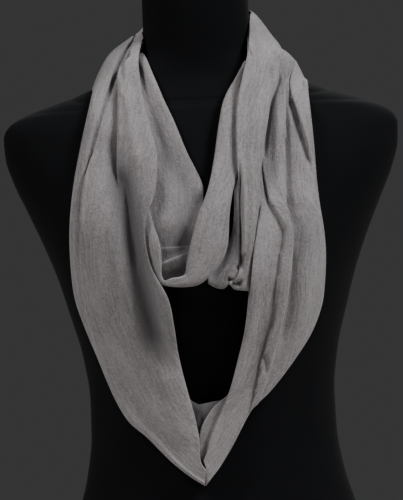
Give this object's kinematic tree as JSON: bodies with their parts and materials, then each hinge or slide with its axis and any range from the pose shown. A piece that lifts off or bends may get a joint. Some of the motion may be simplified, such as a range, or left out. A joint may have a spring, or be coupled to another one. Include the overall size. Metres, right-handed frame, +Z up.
{
  "type": "infinity scarf on dress form",
  "caption": "Light taupe infinity scarf worn as a doubled loop round the neck of a limbless black dress form, short loop high on the chest and long loop hanging to a soft point.",
  "frame": {"origin": "on the flat underside of the dress form, under the middle of the whole part's bounding box", "axes": "+Z up, -Y is the side the wearer faces, +X is the wearer's left, seen at the right from the front"},
  "size_m": [0.394, 0.245, 0.64],
  "materials": {
    "form_jersey": "matt black cotton jersey drawn over a rigid foam form",
    "scarf_cloth": "soft matt crepe-like viscose weave with fine lengthwise slubs"
  },
  "bodies": {
    "root": {"dress_form": "form_jersey", "lower_left": "scarf_cloth", "lower_right": "scarf_cloth", "upper_left": "scarf_cloth", "upper_right": "scarf_cloth", "upper_roll": "scarf_cloth"}
  },
  "joints": []
}
